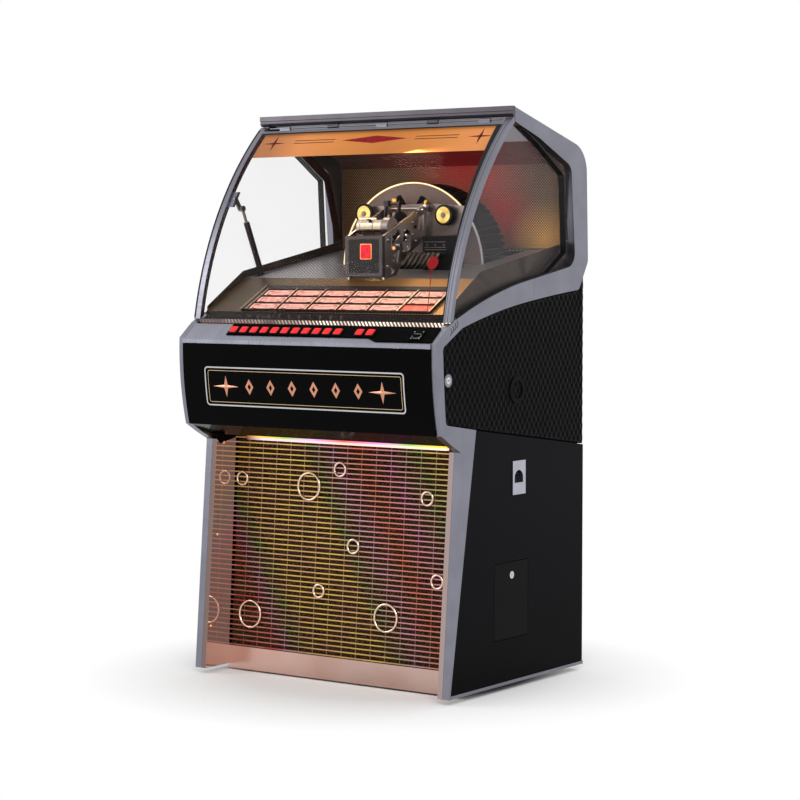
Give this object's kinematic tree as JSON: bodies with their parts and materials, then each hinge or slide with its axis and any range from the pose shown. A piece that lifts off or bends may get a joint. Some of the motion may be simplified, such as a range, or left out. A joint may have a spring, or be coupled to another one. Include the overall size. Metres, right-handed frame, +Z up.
{
  "type": "vinyl record jukebox",
  "caption": "Floor-standing vinyl jukebox with a curved hinged glass lid over a record drum, a row of red selection buttons, a lit nose panel and a barred speaker grille.",
  "frame": {"origin": "bottom centre of the overall box, on the floor", "axes": "+X to the viewer's right, +Y from the front to the back, +Z up; the front faces -Y"},
  "size_m": [0.81, 0.7171, 1.475],
  "materials": {
    "black_laminate": "satin",
    "quilted_vinyl": "soft satin, quilted",
    "satin_metal": "satin",
    "clear_glass": "polished",
    "black_gloss": "gloss",
    "black_plastic": "matt",
    "copper_mirror": "polished",
    "brass_bars": "satin",
    "bright_chrome": "polished",
    "brown_cloth": "cloth covered board",
    "light_bar": "lit",
    "sign_glass": "gloss",
    "red_buttons": "gloss, lit",
    "silver_deck": "patterned",
    "card_paper": "matt",
    "header": "lit",
    "gold_mesh": "patterned",
    "steel_grey": "brushed",
    "record_vinyl": "gloss",
    "dark_steel": "satin",
    "bronze_steel": "satin",
    "pulley_cream": "satin",
    "foot_rubber": "matt",
    "inner_board": "raw board"
  },
  "bodies": {
    "cabinet": {"amplifier": "dark_steel", "back_wall": "gold_mesh", "base_board": "inner_board", "coin_fittings": "bright_chrome", "control_box": "dark_steel", "deck": "silver_deck", "drum_cradle": "dark_steel", "grille": "brass_bars", "grille_rings": "bright_chrome", "grille_surround": "copper_mirror", "keypad_bezel": "black_gloss", "keypad_ledge": "satin_metal", "left_side_panel": "black_laminate", "levelling_feet": "foot_rubber", "light_strip": "light_bar", "mech_cover": "dark_steel", "mech_frame": "bronze_steel", "nose_panel": "black_gloss", "quilt_pads": "quilted_vinyl", "rear_panel": "black_laminate", "right_side_panel": "black_laminate", "roof_panel": "black_laminate", "roof_trim": "satin_metal", "side_port": "black_plastic", "side_trims": "satin_metal", "side_windows": "clear_glass", "sign_plate": "sign_glass", "speaker_board": "brown_cloth", "speakers": "dark_steel", "title_cards": "card_paper", "title_rack": "black_plastic", "window_frames": "satin_metal"},
    "lid": {"lid_frame": "satin_metal", "lid_glass": "clear_glass", "header_panel": "header"},
    "strut_tube": {"strut_tube": "dark_steel"},
    "strut_rod": {"strut_rod": "bright_chrome"},
    "cash_door": {"cash_door": "black_laminate"},
    "cash_door_lock": {"cash_door_lock": "bright_chrome"},
    "side_lock": {"side_lock": "bright_chrome"},
    "drum": {"record_drum": "steel_grey", "records": "record_vinyl"},
    "turntable": {"turntable": "dark_steel"},
    "gripper_arm": {"gripper_arm": "bronze_steel"},
    "tonearm": {"tonearm": "dark_steel"},
    "left_pulley": {"left_pulley": "pulley_cream"},
    "right_pulley": {"right_pulley": "pulley_cream"},
    "button_01": {"button_01": "red_buttons"},
    "button_02": {"button_02": "red_buttons"},
    "button_03": {"button_03": "red_buttons"},
    "button_04": {"button_04": "red_buttons"},
    "button_05": {"button_05": "red_buttons"},
    "button_06": {"button_06": "red_buttons"},
    "button_07": {"button_07": "red_buttons"},
    "button_08": {"button_08": "red_buttons"},
    "button_09": {"button_09": "red_buttons"},
    "button_10": {"button_10": "red_buttons"},
    "button_11": {"button_11": "red_buttons"},
    "button_12": {"button_12": "red_buttons"},
    "button_13": {"button_13": "red_buttons"}
  },
  "joints": [
    {"name": "lid_hinge", "type": "hinge", "parent": "cabinet", "child": "lid", "pos_m": [0, -0.01034, 1.442], "axis": [-1, 0, 0], "range_deg": [0, 40]},
    {"name": "strut_tube_pivot", "type": "hinge", "parent": "cabinet", "child": "strut_tube", "pos_m": [-0.361, 0.03866, 0.825], "axis": [1, 0, 0], "range_deg": [0, 5.3]},
    {"name": "strut_rod_slide", "type": "slide", "parent": "strut_tube", "child": "strut_rod", "axis": [0, -0.416, 0.9094], "range_m": [0, 0.168]},
    {"name": "cash_door_hinge", "type": "hinge", "parent": "cabinet", "child": "cash_door", "pos_m": [0.4, -0.00884, 0.1335], "axis": [0, 1, 0], "range_deg": [0, 90]},
    {"name": "cash_door_lock_turn", "type": "hinge", "parent": "cash_door", "child": "cash_door_lock", "pos_m": [0.385, -0.00834, 0.292], "axis": [1, 0, 0], "range_deg": [0, 90]},
    {"name": "side_lock_turn", "type": "hinge", "parent": "cabinet", "child": "side_lock", "pos_m": [0.385, -0.29834, 0.797], "axis": [1, 0, 0], "range_deg": [0, 90]},
    {"name": "drum_spin", "type": "hinge", "parent": "cabinet", "child": "drum", "pos_m": [0.012, 0.20566, 1.07], "axis": [0, 1, 0], "continuous": true},
    {"name": "turntable_spin", "type": "hinge", "parent": "cabinet", "child": "turntable", "pos_m": [0.039, 0.01466, 1.175], "axis": [1, 0, 0], "continuous": true},
    {"name": "gripper_swing", "type": "hinge", "parent": "cabinet", "child": "gripper_arm", "pos_m": [0.028, 0.01566, 1.137], "axis": [1, 0, 0], "range_deg": [-8, 40]},
    {"name": "tonearm_swing", "type": "hinge", "parent": "cabinet", "child": "tonearm", "pos_m": [0.01, -0.06234, 1.127], "axis": [1, 0, 0], "range_deg": [-12, 12]},
    {"name": "left_pulley_spin", "type": "hinge", "parent": "cabinet", "child": "left_pulley", "pos_m": [-0.11, 0.06266, 1.212], "axis": [0, 1, 0], "continuous": true},
    {"name": "right_pulley_spin", "type": "hinge", "parent": "cabinet", "child": "right_pulley", "pos_m": [0.146, 0.06266, 1.206], "axis": [0, 1, 0], "continuous": true},
    {"name": "button_01_press", "type": "slide", "parent": "cabinet", "child": "button_01", "axis": [0, 0.632, -0.7749], "range_m": [0, 0.003], "stiffness_N_per_m": 400},
    {"name": "button_02_press", "type": "slide", "parent": "cabinet", "child": "button_02", "axis": [0, 0.632, -0.7749], "range_m": [0, 0.003], "stiffness_N_per_m": 400},
    {"name": "button_03_press", "type": "slide", "parent": "cabinet", "child": "button_03", "axis": [0, 0.632, -0.7749], "range_m": [0, 0.003], "stiffness_N_per_m": 400},
    {"name": "button_04_press", "type": "slide", "parent": "cabinet", "child": "button_04", "axis": [0, 0.632, -0.7749], "range_m": [0, 0.003], "stiffness_N_per_m": 400},
    {"name": "button_05_press", "type": "slide", "parent": "cabinet", "child": "button_05", "axis": [0, 0.632, -0.7749], "range_m": [0, 0.003], "stiffness_N_per_m": 400},
    {"name": "button_06_press", "type": "slide", "parent": "cabinet", "child": "button_06", "axis": [0, 0.632, -0.7749], "range_m": [0, 0.003], "stiffness_N_per_m": 400},
    {"name": "button_07_press", "type": "slide", "parent": "cabinet", "child": "button_07", "axis": [0, 0.632, -0.7749], "range_m": [0, 0.003], "stiffness_N_per_m": 400},
    {"name": "button_08_press", "type": "slide", "parent": "cabinet", "child": "button_08", "axis": [0, 0.632, -0.7749], "range_m": [0, 0.003], "stiffness_N_per_m": 400},
    {"name": "button_09_press", "type": "slide", "parent": "cabinet", "child": "button_09", "axis": [0, 0.632, -0.7749], "range_m": [0, 0.003], "stiffness_N_per_m": 400},
    {"name": "button_10_press", "type": "slide", "parent": "cabinet", "child": "button_10", "axis": [0, 0.632, -0.7749], "range_m": [0, 0.003], "stiffness_N_per_m": 400},
    {"name": "button_11_press", "type": "slide", "parent": "cabinet", "child": "button_11", "axis": [0, 0.632, -0.7749], "range_m": [0, 0.003], "stiffness_N_per_m": 400},
    {"name": "button_12_press", "type": "slide", "parent": "cabinet", "child": "button_12", "axis": [0, 0.632, -0.7749], "range_m": [0, 0.003], "stiffness_N_per_m": 400},
    {"name": "button_13_press", "type": "slide", "parent": "cabinet", "child": "button_13", "axis": [0, 0.632, -0.7749], "range_m": [0, 0.003], "stiffness_N_per_m": 400}
  ],
  "couplings": [
    {"joint": "strut_tube_pivot", "follows": "lid_hinge", "ratio": 0.13},
    {"joint": "strut_rod_slide", "follows": "lid_hinge", "m_per_rad": 0.2385}
  ]
}
